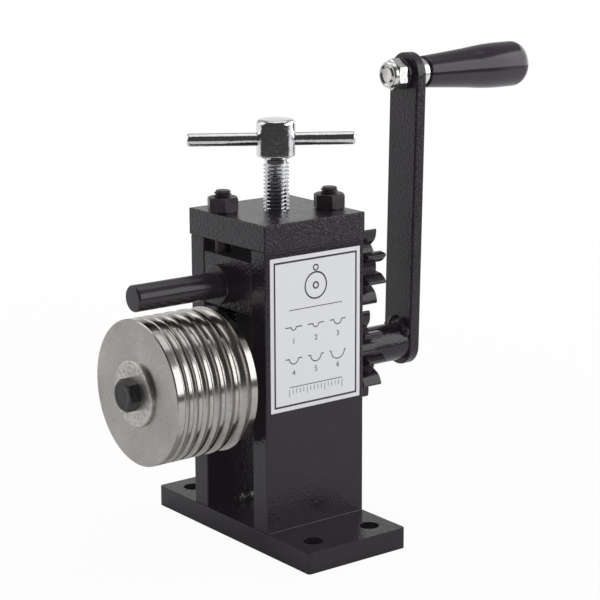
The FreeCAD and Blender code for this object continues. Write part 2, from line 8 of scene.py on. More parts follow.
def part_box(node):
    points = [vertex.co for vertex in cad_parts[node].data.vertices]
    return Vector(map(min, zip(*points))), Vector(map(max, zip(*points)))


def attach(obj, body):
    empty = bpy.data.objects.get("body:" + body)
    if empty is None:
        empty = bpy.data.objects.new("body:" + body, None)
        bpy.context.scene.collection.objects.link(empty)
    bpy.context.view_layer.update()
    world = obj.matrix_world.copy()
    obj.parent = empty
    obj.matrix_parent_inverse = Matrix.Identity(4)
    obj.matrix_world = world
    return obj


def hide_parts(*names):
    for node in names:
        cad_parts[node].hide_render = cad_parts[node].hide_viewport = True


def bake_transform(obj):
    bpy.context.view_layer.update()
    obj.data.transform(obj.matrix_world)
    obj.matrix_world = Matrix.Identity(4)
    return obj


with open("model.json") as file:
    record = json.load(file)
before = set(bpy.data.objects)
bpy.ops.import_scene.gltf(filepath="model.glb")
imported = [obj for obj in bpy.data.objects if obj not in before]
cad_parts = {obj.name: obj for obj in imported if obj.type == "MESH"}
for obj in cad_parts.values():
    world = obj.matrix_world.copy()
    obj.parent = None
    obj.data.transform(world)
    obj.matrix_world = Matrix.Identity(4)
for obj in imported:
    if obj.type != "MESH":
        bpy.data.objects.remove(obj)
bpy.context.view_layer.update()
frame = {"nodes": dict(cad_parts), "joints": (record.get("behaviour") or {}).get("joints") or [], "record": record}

mm = 0.001
origin = Vector((0, 0, 0))
alongY = Vector((0, 1, 0))
alongZ = Vector((0, 0, 1))
scene = bpy.context.scene
scene.view_settings.view_transform = "Standard"
joints = {joint["name"]: joint for joint in frame["joints"]}
driveAxis = Vector(joints["crank_turn"]["pos_m"])
upperAxis = Vector(joints["top_shaft_turn"]["pos_m"])
gripAxis = Vector(joints["grip_turn"]["pos_m"])
crankLean = 1.4  # degrees that the arm leans from upright
print("frame loaded,", len(frame["nodes"]), "nodes")


# shader maths: a wrapped socket, and a material that makes its nodes
class Wire:
    def __init__(self, paint, socket):
        self.paint = paint
        self.socket = socket

    def calc(self, operation, first, second):
        return self.paint.node("ShaderNodeMath", {"operation": operation}, {0: first, 1: second})

    def __add__(self, other):
        return self.calc("ADD", self, other)

    def __radd__(self, other):
        return self.calc("ADD", other, self)

    def __sub__(self, other):
        return self.calc("SUBTRACT", self, other)

    def __rsub__(self, other):
        return self.calc("SUBTRACT", other, self)

    def __mul__(self, other):
        return self.calc("MULTIPLY", self, other)

    def __rmul__(self, other):
        return self.calc("MULTIPLY", other, self)

    def __lt__(self, other):
        return self.calc("LESS_THAN", self, other)

    def size(self):
        return self.calc("ABSOLUTE", self, 0)


class Paint:
    def __init__(self, owner):
        owner.use_nodes = True
        self.owner = owner
        self.tree = owner.node_tree
        self.tree.nodes.clear()

    def node(self, kind, settings=None, sockets=None, output=0):
        made = self.tree.nodes.new(kind)
        for key, value in (settings or {}).items():
            setattr(made, key, value)
        for key, value in (sockets or {}).items():
            if isinstance(value, Wire):
                self.tree.links.new(value.socket, made.inputs[key])
            else:
                made.inputs[key].default_value = value
        return Wire(self, made.outputs[output]) if len(made.outputs) else None

    def place(self, scale=(1, 1, 1), centre=(0, 0, 0)):
        spot = self.node("ShaderNodeTexCoord", output="Object")
        moved = self.node("ShaderNodeVectorMath", {"operation": "SUBTRACT"}, {0: spot, 1: centre})
        return self.node("ShaderNodeVectorMath", {"operation": "MULTIPLY"}, {0: moved, 1: scale})

    def parts(self, vector):
        return [self.node("ShaderNodeSeparateXYZ", sockets={0: vector}, output=axis)
                for axis in "XYZ"]

    def join(self, x, y, z):
        return self.node("ShaderNodeCombineXYZ", sockets={0: x, 1: y, 2: z})

    def noise(self, vector, scale, detail=2.0, roughness=0.5, warp=0.0):
        return self.node("ShaderNodeTexNoise", {"noise_dimensions": "3D"},
                         {"Vector": vector, "Scale": scale, "Detail": detail,
                          "Roughness": roughness, "Distortion": warp})

    def cells(self, vector, scale, soft=0.5):
        return self.node("ShaderNodeTexVoronoi", {"feature": "SMOOTH_F1"},
                         {"Vector": vector, "Scale": scale, "Smoothness": soft}, "Distance")

    def ramp(self, factor, low, high):
        return self.node("ShaderNodeMapRange", {"clamp": True},
                         {"Value": factor, "From Min": low, "From Max": high})

    def blend(self, factor, first, second):
        return self.node("ShaderNodeMix", {"data_type": "RGBA"},
                         {0: factor, 6: (*first, 1) if isinstance(first, tuple) else first,
                          7: (*second, 1) if isinstance(second, tuple) else second}, 2)

    def bump(self, height, strength, depth):
        return self.node("ShaderNodeBump",
                         sockets={"Height": height, "Strength": strength, "Distance": depth})

    def shade(self, **sockets):
        names = {key.replace("_", " "): value for key, value in sockets.items()}
        surface = self.node("ShaderNodeBsdfPrincipled", sockets=names)
        self.node("ShaderNodeOutputMaterial", sockets={"Surface": surface})
        return self.owner


def newPaint(name):
    return Paint(bpy.data.materials.new(name))


coatLook = {
    "dark": (0.0042, 0.0004, 0.0048),
    "pale": (0.0096, 0.0034, 0.0102),
    # painted glints: a paler colour on the wrinkle tops stands in for their sparkle
    "fleck": (0.043, 0.036, 0.043),
    "haze": (0.0060, 0.0055, 0.0059, 1),  # painted glow: an emission that lifts the coat in deep shade
    "pebbleScale": 820, "pebbleHeight": 0.4,
    "wrinkleScale": 1200, "wrinkleHeight": 0.6, "wrinkleRough": 0.05,
    "blotchScale": 70, "blotchRough": 0.04, "blotchRange": (0.32, 0.62),
    "blisterScale": 95, "blisterHeight": 0.25, "blisterRange": (0.03, 0.11),
    "paintedGlintRange": (0.60, 0.78),  # painted glints: only the tops of the wrinkles are lightened
    "bumpDepth": 0.00040,
}


def blackCoat(name, grainAndGlints, gloss, lift=0.0):
    # a glossy coat with an orange peel surface, a few blisters, painted glints on its wrinkle tops and a faint
    # painted glow; lift is added to its colours
    look = coatLook
    paint = newPaint(name)
    spot = paint.place()
    wrinkle = paint.noise(spot, look["wrinkleScale"], 1.5, 0.5)
    pebble = paint.cells(spot, look["pebbleScale"], 0.7)
    blotch = paint.noise(spot, look["blotchScale"], 3)
    blister = 1 - paint.ramp(paint.cells(spot, look["blisterScale"], 0), *look["blisterRange"])
    height = pebble * look["pebbleHeight"] + wrinkle * look["wrinkleHeight"]
    height = height + blister * look["blisterHeight"]
    rough = gloss + wrinkle * look["wrinkleRough"] + blotch * look["blotchRough"]
    dark = tuple(part + lift for part in look["dark"])
    pale = tuple(part + lift for part in look["pale"])
    colour = paint.blend(paint.ramp(blotch, *look["blotchRange"]), dark, pale)
    # painted glints: the wrinkle tops are lightened towards the pale glint colour
    fleck = paint.ramp(wrinkle, *look["paintedGlintRange"]) * grainAndGlints
    colour = paint.blend(fleck, colour, look["fleck"])
    # painted glow: the haze colour is given off as light, so the coat never goes fully black in shade
    return paint.shade(Base_Color=colour, Roughness=rough,
                       Emission_Color=look["haze"], Emission_Strength=1.0,
                       Normal=paint.bump(height, grainAndGlints, look["bumpDepth"]))


def turnedSteel(name, centre, faceLevel, landRadius):
    # the end face is duller than the ground lands and the grooves
    look = {"bright": (0.59, 0.560, 0.535), "dull": (0.43, 0.405, 0.38), "tintRange": (0.35, 0.65),
            "landRough": 0.09, "faceRough": 0.21, "grooveRough": 0.17,
            "ringScale": 2600, "ringRough": 0.06, "smearScale": 45, "smearRough": 0.06,
            "speckScale": 900, "speckRough": 0.04, "bump": (0.4, 0.00005)}
    paint = newPaint(name)
    x, y, z = paint.parts(paint.place(centre=centre))
    radius = paint.node("ShaderNodeMath", {"operation": "SQRT"}, {0: x * x + z * z})
    rings = paint.noise(paint.join(radius, y, 0.0), look["ringScale"], 2, 0.7)
    smear = paint.noise(paint.place(), look["smearScale"], 4, 0.6)
    speck = paint.noise(paint.place(), look["speckScale"], 2, 0.6)
    tint = paint.ramp(smear * 0.6 + speck * 0.4, *look["tintRange"])
    colour = paint.blend(tint, look["bright"], look["dull"])
    onFace = y < faceLevel
    inGroove = (radius < landRadius) * (1 - onFace)
    rough = look["landRough"] + onFace * (look["faceRough"] - look["landRough"])
    rough = rough + inGroove * (look["grooveRough"] - look["landRough"])
    rough = rough + rings * look["ringRough"] + smear * look["smearRough"] + speck * look["speckRough"]
    height = (rings * 0.8 + speck * 0.2) * (0.4 + onFace * 0.6)  # the marks are deepest on the face
    return paint.shade(Base_Color=colour, Metallic=1.0, Roughness=rough,
                       Normal=paint.bump(height, *look["bump"]))


def stained(paint, look, stain, height):
    # the stain pattern tints and roughens the clean surface
    colour = paint.blend(paint.ramp(stain, *look["range"]), *look["colours"])
    rough = look["rough"] + stain * look["stainRough"]
    return paint.shade(Base_Color=colour, Metallic=look["metal"], Roughness=rough,
                       Normal=paint.bump(height, *look["bump"]))


def zincPlate(name, bright, dull, rough):
    look = {"colours": (bright, dull), "metal": 1.0, "rough": rough, "stainScale": 620,
            "range": (0.42, 0.70), "stainRough": 0.24, "crystalScale": 420, "bump": (0.3, 0.00008)}
    paint = newPaint(name)
    spot = paint.place()
    crystal = paint.cells(spot, look["crystalScale"], 0.3)
    stain = paint.noise(spot, look["stainScale"], 4, 0.75, 0.3)
    return stained(paint, look, stain, stain * 0.6 + crystal * 0.4)


def chromePlate(name):
    look = {"colours": ((0.80, 0.805, 0.82), (0.60, 0.61, 0.63)), "metal": 1.0, "rough": 0.05,
            "hazeScale": 260, "range": (0.45, 0.8), "stainRough": 0.10,
            "scratchScale": 1800, "scratchHeight": 0.02, "bump": (0.5, 0.00028)}
    paint = newPaint(name)
    haze = paint.noise(paint.place(), look["hazeScale"], 4, 0.7)
    scratch = paint.noise(paint.place((1, 1, 0.06)), look["scratchScale"], 2, 0.7)
    return stained(paint, look, haze, scratch * look["scratchHeight"] + haze)


def blackOxide(name, gloss, level, green):
    # green below 1 turns the grey towards a warm purple
    look = {"colours": ((0.030 * level, 0.028 * level * green, 0.028 * level),
                        (0.062 * level, 0.059 * level * green, 0.059 * level)),
            "metal": 0.35, "rough": gloss, "stainScale": 300, "range": (0.35, 0.75),
            "stainRough": 0.12, "gritScale": 2400, "bump": (0.16, 0.00006)}
    paint = newPaint(name)
    spot = paint.place()
    stain = paint.noise(spot, look["stainScale"], 4, 0.65)
    grit = paint.noise(spot, look["gritScale"], 2, 0.6)
    return stained(paint, look, stain, stain * 0.5 + grit * 0.5)


def bareSteel(name):
    look = {"colours": ((0.56, 0.55, 0.54), (0.38, 0.37, 0.36)), "metal": 1.0, "rough": 0.24,
            "smearScale": 90, "range": (0.3, 0.7), "stainRough": 0.16, "markScale": 1500,
            "bump": (0.15, 0.00004)}
    paint = newPaint(name)
    smear = paint.noise(paint.place(), look["smearScale"], 4, 0.6)
    marks = paint.noise(paint.place((1, 0.05, 1)), look["markScale"], 2, 0.7)
    return stained(paint, look, smear, marks)


def bushBronze(name):
    look = {"colours": ((0.55, 0.36, 0.17), (0.34, 0.20, 0.09)), "metal": 1.0, "rough": 0.3,
            "stainScale": 220, "range": (0.3, 0.7), "stainRough": 0.2, "bump": (0.1, 0.00005)}
    paint = newPaint(name)
    stain = paint.noise(paint.place(), look["stainScale"], 4, 0.6)
    return stained(paint, look, stain, stain)


def gripPlastic(name):
    look = {"colours": ((0.031, 0.0195, 0.033), (0.039, 0.027, 0.041)), "metal": 0.0, "rough": 0.10,
            "flowScale": 55, "range": (0.3, 0.7), "stainRough": 0.06, "fineScale": 700,
            "bump": (0.04, 0.0001)}
    paint = newPaint(name)
    flow = paint.noise(paint.place((1, 0.25, 1)), look["flowScale"], 3, 0.55)
    fine = paint.noise(paint.place(), look["fineScale"], 2, 0.5)
    return stained(paint, look, flow, flow * 0.7 + fine * 0.3)


def labelFace(name, centre, size):
    look = {"margin": (0.92, 0.90, 0.925), "field": (0.91, 0.922, 0.942), "inset": 2.55 * mm,
            "cloud": (0.5, 0.5, 0.52), "cloudScale": 40, "cloudShare": 0.08, "rough": 0.3,
            "fibreScale": 1300, "fibreRough": 0.12, "bump": (0.05, 0.00003)}
    paint = newPaint(name)
    _, y, z = paint.parts(paint.place(centre=centre))
    insideY = y.size() < size.y / 2 - look["inset"]
    insideZ = z.size() < size.z / 2 - look["inset"]
    fibre = paint.noise(paint.place(), look["fibreScale"], 3, 0.6)
    cloud = paint.noise(paint.place(), look["cloudScale"], 2)
    field = paint.blend(insideY * insideZ, look["margin"], look["field"])
    colour = paint.blend(cloud * look["cloudShare"], field, look["cloud"])
    return paint.shade(Base_Color=colour, Roughness=look["rough"] + fibre * look["fibreRough"],
                       Normal=paint.bump(fibre, *look["bump"]))


def labelInk(name):
    look = {"dark": (0.016, 0.016, 0.02), "pale": (0.035, 0.034, 0.04), "rough": 0.38,
            "fibreScale": 1500, "fibreRough": 0.1}
    paint = newPaint(name)
    fibre = paint.noise(paint.place(), look["fibreScale"], 2)
    colour = paint.blend(fibre, look["dark"], look["pale"])
    return paint.shade(Base_Color=colour, Roughness=look["rough"] + fibre * look["fibreRough"])


rollerLow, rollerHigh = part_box("roller")
margin = 0.2 * mm  # the roller's finish changes this far inside its end face and its lands
faceLevel = rollerLow.y - driveAxis.y + margin
landRadius = (rollerHigh.z - rollerLow.z) / 2 - margin
finishes = {
    # coats: grain with painted glints, roughness and, for the shaft, a lift of the colour
    "plateCoat": blackCoat("plateCoat", 0.48, 0.11),
    "armCoat": blackCoat("armCoat", 0.58, 0.17),
    "grainyCoat": blackCoat("grainyCoat", 1.0, 0.17),
    "smoothCoat": blackCoat("smoothCoat", 0.12, 0.14),
    "shaftCoat": blackCoat("shaftCoat", 0.12, 0.14, 0.011),
    "weldCoat": blackCoat("weldCoat", 0.40, 0.26),
    "rollerSteel": turnedSteel("rollerSteel", driveAxis, faceLevel, landRadius),
    "zinc": zincPlate("zinc", (0.74, 0.725, 0.68), (0.36, 0.345, 0.31), 0.26),
    "brightZinc": zincPlate("brightZinc", (0.92, 0.91, 0.89), (0.64, 0.63, 0.61), 0.10),
    "chrome": chromePlate("chrome"),
    "oxide": blackOxide("oxide", 0.36, 1.12, 1.0),
    "nutOxide": blackOxide("nutOxide", 0.32, 1.3, 0.84),
    "steel": bareSteel("steel"),
    "bronze": bushBronze("bronze"),
    "grip": gripPlastic("grip"),
    "ink": labelInk("ink"),
}
print("finishes made,", len(finishes))


def alongAxis(start, direction):
    return Matrix.Translation(start) @ direction.to_track_quat("Z", "Y").to_matrix().to_4x4()


def makePiece(name, bm, body, finish, stands=(), sharp=32, even=True):
    mesh = bpy.data.meshes.new(name)
    bm.to_mesh(mesh)
    bm.free()
    mesh.shade_smooth()
    mesh.set_sharp_from_angle(angle=math.radians(sharp))
    mesh.materials.append(finish)
    piece = bpy.data.objects.new(name, mesh)
    scene.collection.objects.link(piece)
    if even:
        piece.modifiers.new("evenShading", "WEIGHTED_NORMAL").keep_sharp = True
    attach(piece, body)
    if stands:
        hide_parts(*stands)


def arc(radius, middle, fromAngle, toAngle, steps):
    # points (radius, distance) of an arc in a turned outline, angles in degrees
    points = []
    for step in range(steps + 1):
        angle = math.radians(fromAngle + (toAngle - fromAngle) * step / steps)
        points.append((middle[0] + radius * math.cos(angle), middle[1] + radius * math.sin(angle)))
    return points


def smoothLine(points, steps):
    # a curve through every point, each stretch in equal steps
    padded = [points[0], *points, points[-1]]
    line = [points[0]]
    for before, first, second, after in zip(padded, padded[1:], padded[2:], padded[3:]):
        for step in range(1, steps + 1):
            share = step / steps
            line.append(tuple(0.5 * (2 * b + (c - a) * share + (2 * a - 5 * b + 4 * c - d) * share ** 2
                                     + (3 * b - a - 3 * c + d) * share ** 3)
                              for a, b, c, d in zip(before, first, second, after)))
    return line


def turned(outline, start, direction, steps=96, ring=False):
    # spin an outline of (radius, distance) in mm about a line
    bm = bmesh.new()
    verts = [bm.verts.new((radius * mm, 0, distance * mm)) for radius, distance in outline]
    edges = [bm.edges.new(pair) for pair in zip(verts, verts[1:])]
    if ring:
        edges.append(bm.edges.new((verts[-1], verts[0])))
    bmesh.ops.spin(bm, geom=verts + edges, cent=(0, 0, 0), axis=(0, 0, 1), dvec=(0, 0, 0),
                   angle=math.tau, steps=steps, use_merge=True, use_duplicate=False)
    bmesh.ops.remove_doubles(bm, verts=bm.verts, dist=1e-7)
    bmesh.ops.recalc_face_normals(bm, faces=bm.faces)
    bmesh.ops.transform(bm, matrix=alongAxis(start, direction), verts=bm.verts)
    return bm


def addTo(bm, other):
    carrier = bpy.data.meshes.new("carrier")
    other.to_mesh(carrier)
    other.free()
    bm.from_mesh(carrier)
    bpy.data.meshes.remove(carrier)


def hexRadius(acrossFlats, angle):
    turn = (angle + math.pi / 6) % (math.pi / 3) - math.pi / 6
    return acrossFlats / 2 / math.cos(math.pi / 6 - abs(turn))


def hexShape(loops, acrossFlats, corner, start, direction, sides=72):
    # rings stacked up an axis, each (radius, distance, kind): "round", or a hexagon of radius 1 whose
    # corners are cut back by a chamfer cone that opens "up" or "down"
    bm = bmesh.new()
    ring = bmesh.ops.create_circle(bm, cap_ends=False, segments=sides, radius=mm)["verts"]
    flat = acrossFlats / 2
    slope = math.tan(math.radians(30))
    edges = list({edge for vert in ring for edge in vert.link_edges})
    for number, (radius, distance, kind) in enumerate(loops):
        if number:
            grown = bmesh.ops.extrude_edge_only(bm, edges=edges)["geom"]
            ring = [item for item in grown if isinstance(item, bmesh.types.BMVert)]
            edges = [item for item in grown if isinstance(item, bmesh.types.BMEdge)
                     and all(vert in ring for vert in item.verts)]
        for vert in ring:
            angle = math.atan2(vert.co.y, vert.co.x)
            if kind == "round":
                vert.co = (radius * mm * math.cos(angle), radius * mm * math.sin(angle), distance * mm)
                continue
            wide = hexRadius(acrossFlats, angle) * radius
            drop = max(0, wide - flat) * slope * {"up": 1, "down": -1}[kind]
            vert.co = (wide * mm * math.cos(angle), wide * mm * math.sin(angle), (distance - drop) * mm)
    bmesh.ops.holes_fill(bm, edges=[edge for edge in bm.edges if edge.is_boundary], sides=0)
    bmesh.ops.recalc_face_normals(bm, faces=bm.faces)
    turn = Matrix.Rotation(math.radians(corner), 4, "Z")
    bmesh.ops.transform(bm, matrix=alongAxis(start, direction) @ turn, verts=bm.verts)
    return bm


def threaded(diameter, pitch, depth, low, high, centre, lead=0.0, steps=36):
    # one tooth outline spun up a helix, trimmed flat at both ends and coned at the top over its lead
    crest = diameter / 2
    root = crest - depth
    shoulder = crest - 0.03
    spare = 3  # turns that go past the ends, to be trimmed
    outline = [(root, 0), (root, 0.06), (shoulder, 0.43), (crest, 0.47), (crest, 0.53),
               (shoulder, 0.57), (root, 0.94), (root, 1)]  # radius, share of a pitch
    bm = bmesh.new()
    turns = math.ceil((high - low) / pitch) + spare
    verts = [bm.verts.new((radius * mm, 0, (low + (share - spare / 2) * pitch) * mm))
             for radius, share in outline]
    edges = [bm.edges.new(pair) for pair in zip(verts, verts[1:])]
    bmesh.ops.spin(bm, geom=verts + edges, cent=(0, 0, 0), axis=(0, 0, 1),
                   dvec=(0, 0, pitch * mm / steps), angle=math.tau * turns, steps=steps * turns,
                   use_merge=False, use_duplicate=False)
    bmesh.ops.remove_doubles(bm, verts=bm.verts, dist=2e-6)
    for level, upward in ((low, -1), (high, 1)):
        bmesh.ops.bisect_plane(bm, geom=bm.verts[:] + bm.edges[:] + bm.faces[:], dist=1e-8,
                               plane_co=(0, 0, level * mm), plane_no=(0, 0, upward), clear_outer=True)
    for vert in bm.verts:
        limit = (crest + high - lead) * mm - vert.co.z
        reach = vert.co.xy.length
        if lead and reach > limit:
            vert.co.xy = vert.co.xy * (limit / reach)
    bmesh.ops.holes_fill(bm, edges=[edge for edge in bm.edges if edge.is_boundary], sides=0)
    bmesh.ops.recalc_face_normals(bm, faces=bm.faces)
    bmesh.ops.translate(bm, vec=centre, verts=bm.verts)
    return bm


def softened(node, rounding, steps=2, sharp=35):
    # a copy of a frame node with its doubles merged and its hard edges rounded
    bm = bmesh.new()
    bm.from_mesh(frame["nodes"][node].data)
    bmesh.ops.remove_doubles(bm, verts=bm.verts, dist=1e-6)
    bmesh.ops.dissolve_limit(bm, angle_limit=math.radians(0.3), verts=bm.verts, edges=bm.edges)
    hard = [edge for edge in bm.edges if len(edge.link_faces) == 2
            and edge.calc_face_angle() > math.radians(sharp)]
    bmesh.ops.bevel(bm, geom=hard, offset=rounding * mm, offset_type="OFFSET", segments=steps,
                    profile=0.5, affect="EDGES", material=-1, clamp_overlap=True)
    return bm


# plates, blocks, gears and collars: the frame's own shapes with their edges rounded
softNodes = {
    # node: rounding in mm, finish
    "base_plate": (1.0, "plateCoat"),
    "left_upright": (0.5, "plateCoat"),
    "right_upright": (0.5, "plateCoat"),
    "cap_plate": (0.35, "grainyCoat"),
    "lower_block": (0.6, "plateCoat"),
    "sliding_block": (0.5, "grainyCoat"),
    "cap_nuts": (0.3, "nutOxide"),
    "top_gear": (0.75, "smoothCoat"),
    "drive_gear": (0.75, "smoothCoat"),
    "top_rear_spacer": (0.3, "smoothCoat"),
    "drive_rear_spacer": (0.3, "smoothCoat"),
    "top_front_collar": (0.45, "smoothCoat"),
    "drive_front_collar": (0.3, "smoothCoat"),
    "handle_washer": (0.25, "smoothCoat"),
    "crank_hub": (0.3, "plateCoat"),
    "crank_arm": (0.3, "armCoat"),
    "top_clip": (0.1, "oxide"),
}
bodyOf = {node: body for body, nodes in frame["record"]["behaviour"]["bodies"].items() for node in nodes}
slotOf = {node: "black_coat" for node in softNodes}
slotOf.update(cap_nuts="black_oxide", handle_washer="black_oxide", top_clip="spring_steel")
for node, (rounding, finish) in softNodes.items():
    words = node.split("_")
    pieceName = words[0] + "".join(word.capitalize() for word in words[1:])
    bm = softened(node, rounding)
    makePiece(pieceName, bm, bodyOf[node], finishes[finish], (node,))
print("plates, gears and collars done,", len(softNodes))


# pieces that hardly show keep their frame shape and get a finish
plainNodes = {
    "bronze": ("drive_front_bush", "drive_rear_bush", "handle_bush"),
    "oxide": ("top_collar_grub", "hub_grub_screw", "top_gear_key", "drive_gear_key", "roller_key"),
    "steel": ("drive_shaft",),
}
for finish, nodes in plainNodes.items():
    for node in nodes:
        shape = frame["nodes"][node]
        shape.data.materials.clear()
        shape.data.materials.append(finishes[finish])
print("hidden pieces finished")


roller = {"edge": 0.45, "grooves": (2.5, 3.0, 4.0, 4.5, 5.5, 7.0), "endLand": 3.75, "grooveSteps": 14,
          "lipRound": 0.12, "turns": 192, "bore": 7.5}
grooves = roller["grooves"]
edge = roller["edge"]
lip = roller["lipRound"]
radius = (rollerHigh.z - rollerLow.z) / 2 / mm
length = (rollerHigh.y - rollerLow.y) / mm
innerLand = (length - 2 * roller["endLand"] - sum(grooves)) / (len(grooves) - 1)
outline = [(roller["bore"], 0), (radius - edge, 0), (radius, edge)]
station = roller["endLand"]
for width in grooves:
    # a rounded lip, the groove and the other lip
    ending = station + width
    outline += [(radius, station - lip * 2), (radius, station - lip),
                (radius - lip * 0.3, station - lip * 0.3)]
    outline += arc(width / 2, (radius, station + width / 2), 270, 90, roller["grooveSteps"])[1:-1]
    outline += [(radius - lip * 0.3, ending + lip * 0.3), (radius, ending + lip),
                (radius, ending + lip * 2)]
    station += width + innerLand
outline += [(radius, length - edge), (radius - edge, length), (roller["bore"], length)]
rollerStart = Vector((driveAxis.x, rollerLow.y, driveAxis.z))
bm = turned(outline, rollerStart, alongY, roller["turns"], ring=True)
makePiece("grooveRoller", bm, "drive", finishes["rollerSteel"], ("roller",),
          sharp=24, even=False)

washer = {"bore": 4.1, "boreChamfer": 0.2, "edgeRound": 0.7, "backChamfer": 0.15}
low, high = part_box("roller_washer")
radius = (high.z - low.z) / 2 / mm
thick = (high.y - low.y) / mm
bore = washer["bore"]
soft = washer["edgeRound"]
outline = [(bore, washer["boreChamfer"]), (bore + washer["boreChamfer"], 0)]
outline += arc(soft, (radius - soft, soft), -90, 0, 5)
outline += [(radius, thick - washer["backChamfer"]), (radius - washer["backChamfer"], thick),
            (bore, thick)]
bm = turned(outline, Vector((0, low.y, driveAxis.z)), alongY, 128, ring=True)
makePiece("rollerWasher", bm, "drive", finishes["zinc"], ("roller_washer",))

bolt = {"flats": 13.0, "head": 5.3, "shank": 8.0, "corner": 12.0,
        "face": ((3.2, 0.25), (4.6, 0.12), (5.3, 0.02), (6.1, 0.02)),  # radius and depth of its dimple
        "sides": (0.1, 0.2), "under": 6.2}  # how far the flats stay from each end, radius behind
low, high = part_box("roller_bolt")
headLoops = [(*point, "round") for point in bolt["face"]]
headLoops += [(1.0, bolt["sides"][0], "down"), (1.0, bolt["head"] - bolt["sides"][1], "down"),
              (bolt["under"], bolt["head"], "round"), (bolt["shank"] / 2, bolt["head"], "round"),
              (bolt["shank"] / 2, (high.y - low.y) / mm, "round")]
boltStart = Vector((0, low.y, driveAxis.z))
bm = hexShape(headLoops, bolt["flats"], bolt["corner"], boltStart, alongY)
makePiece("rollerBolt", bm, "drive", finishes["oxide"], ("roller_bolt",), sharp=22)
print("roller done")


topShaft = {"round": 0.9, "rearRound": 0.5, "clipGroove": 0.55}
low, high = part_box("top_shaft")
radius = (high.z - low.z) / 2 / mm
length = (high.y - low.y) / mm
clipLow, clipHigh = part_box("top_clip")
grooveStart = (clipLow.y - low.y) / mm
grooveEnd = (clipHigh.y - low.y) / mm
soft = topShaft["round"]
rear = topShaft["rearRound"]
grooveRadius = radius - topShaft["clipGroove"]
outline = [(0, 0.0)] + arc(soft, (radius - soft, soft), -90, 0, 5)
outline += [(radius, grooveStart), (grooveRadius, grooveStart), (grooveRadius, grooveEnd),
            (radius, grooveEnd)]
outline += arc(rear, (radius - rear, length - rear), 0, 90, 4) + [(0, length)]
bm = turned(outline, Vector((upperAxis.x, low.y, upperAxis.z)), alongY, 96)
makePiece("topShaft", bm, "upper", finishes["shaftCoat"], ("top_shaft",))
print("top shaft done")


screw = {"diameter": 12.0, "pitch": 1.75, "depth": 1.02, "tip": 9.4, "tipLength": 3.0, "tipChamfer": 0.5,
         "neck": 10.4, "neckLength": 1.2, "neckOverlap": 0.2, "head": 17.8, "headHeight": 16.5,
         "topRound": 2.1, "lowRound": 0.7, "lowRise": 0.5, "coneTop": 16.2, "coneLength": 1.9,
         "barHole": 6.3, "barTurn": 56.75}  # the bar's turn is in degrees from the x axis
low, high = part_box("pressure_screw")
barLow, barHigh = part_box("tommy_bar")
barMiddle = (barLow + barHigh) / 2
headTop = high.z / mm
headBottom = headTop - screw["headHeight"]
threadTop = headBottom - screw["coneLength"] - screw["neckLength"]
radius = screw["head"] / 2
crown = screw["topRound"]
soft = screw["lowRound"]
neck = screw["neck"] / 2
neckStart = threadTop - screw["neckOverlap"]
outline = [(0, neckStart), (neck, neckStart), (neck, threadTop + screw["neckLength"]),
           (screw["coneTop"] / 2, headBottom)]
outline += arc(soft, (radius - soft, headBottom + screw["lowRise"]), -70, 0, 4)
outline += arc(crown, (radius - crown, headTop - crown), 0, 84, 9)
outline.append((0, headTop))
head = turned(outline, origin, alongZ, 96)
barTurn = math.radians(screw["barTurn"])
barAlong = Vector((math.cos(barTurn), math.sin(barTurn), 0))


def holderOf(bm):
    holder = bpy.data.objects.new("holder", bpy.data.meshes.new("holder"))
    bm.to_mesh(holder.data)
    bm.free()
    scene.collection.objects.link(holder)
    return holder


def discard(holder):
    mesh = holder.data
    bpy.data.objects.remove(holder)
    bpy.data.meshes.remove(mesh)


def reworked(bm, kind, **settings):
    # run a shape through one modifier and take the result
    holder = holderOf(bm)
    change = holder.modifiers.new("change", kind)
    for setting, value in settings.items():
        setattr(change, setting, value)
    result = bmesh.new()
    result.from_object(holder, bpy.context.evaluated_depsgraph_get())
    discard(holder)
    return result


def drilled(bm, diameter, start, end):
    # take a round hole out of a closed shape
    depth = (end - start).length / mm
    outline = [(0, 0), (diameter / 2, 0), (diameter / 2, depth), (0, depth)]
    tool = holderOf(turned(outline, start, end - start, 48))
    result = reworked(bm, "BOOLEAN", operation="DIFFERENCE", solver="EXACT", object=tool)
    discard(tool)
    return result


holeReach = barAlong * screw["head"] * mm
holeMiddle = Vector((0, 0, barMiddle.z))
head = drilled(head, screw["barHole"], holeMiddle - holeReach, holeMiddle + holeReach)
tipBottom = low.z / mm
tipTop = tipBottom + screw["tipLength"]
tip = screw["tip"] / 2
addTo(head, threaded(screw["diameter"], screw["pitch"], screw["depth"], tipTop, threadTop, origin))
addTo(head, turned([(0, tipBottom), (tip - screw["tipChamfer"], tipBottom),
                    (tip, tipBottom + screw["tipChamfer"]), (tip, tipTop), (0, tipTop)],
                   origin, alongZ, 48))
makePiece("pressureScrew", head, "screw", finishes["chrome"], ("pressure_screw",), sharp=30)

bar = {"diameter": 6.0, "length": 76.0, "endRound": 1.3}
radius = bar["diameter"] / 2
end = bar["endRound"]
outline = [(0, 0)] + arc(end, (radius - end, end), -90, 0, 6)
outline += arc(end, (radius - end, bar["length"] - end), 0, 90, 6) + [(0, bar["length"])]
bm = turned(outline, barMiddle - barAlong * bar["length"] * mm / 2, barAlong, 64)
makePiece("tommyBar", bm, "screw", finishes["chrome"], ("tommy_bar",))
print("pressure screw done")


